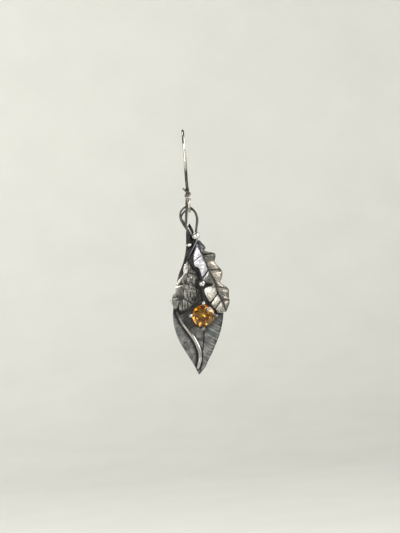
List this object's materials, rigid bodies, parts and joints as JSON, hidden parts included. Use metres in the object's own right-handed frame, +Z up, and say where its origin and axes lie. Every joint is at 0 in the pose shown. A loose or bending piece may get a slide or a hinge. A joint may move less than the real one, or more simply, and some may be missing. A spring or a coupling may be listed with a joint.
{
  "type": "leaf drop earring",
  "caption": "Drop earring: a fish-hook ear wire carrying a soldered drop of layered leaves with a round prong-set stone.",
  "frame": {"origin": "underside of the ear wire at the top of the hook's bend, where the lobe carries it", "axes": "+Z up along the hanging earring, the leaves' front faces -Y, +X to the right as seen from the front"},
  "size_m": [0.0133, 0.0114, 0.0549],
  "materials": {
    "ear_wire": "drawn silver wire, lightly oxidised",
    "leaf_silver": "oxidised silver with polished high places",
    "stone": "faceted, orange-gold"
  },
  "bodies": {
    "ear_wire": {"ear_hook": "ear_wire"},
    "drop": {"leaf_drop": "leaf_silver", "stone": "stone"}
  },
  "joints": [
    {"name": "drop_swing", "type": "hinge", "parent": "ear_wire", "child": "drop", "pos_m": [0, -0.004, -0.01795], "axis": [0, 1, 0], "range_deg": [-80, 80]}
  ]
}
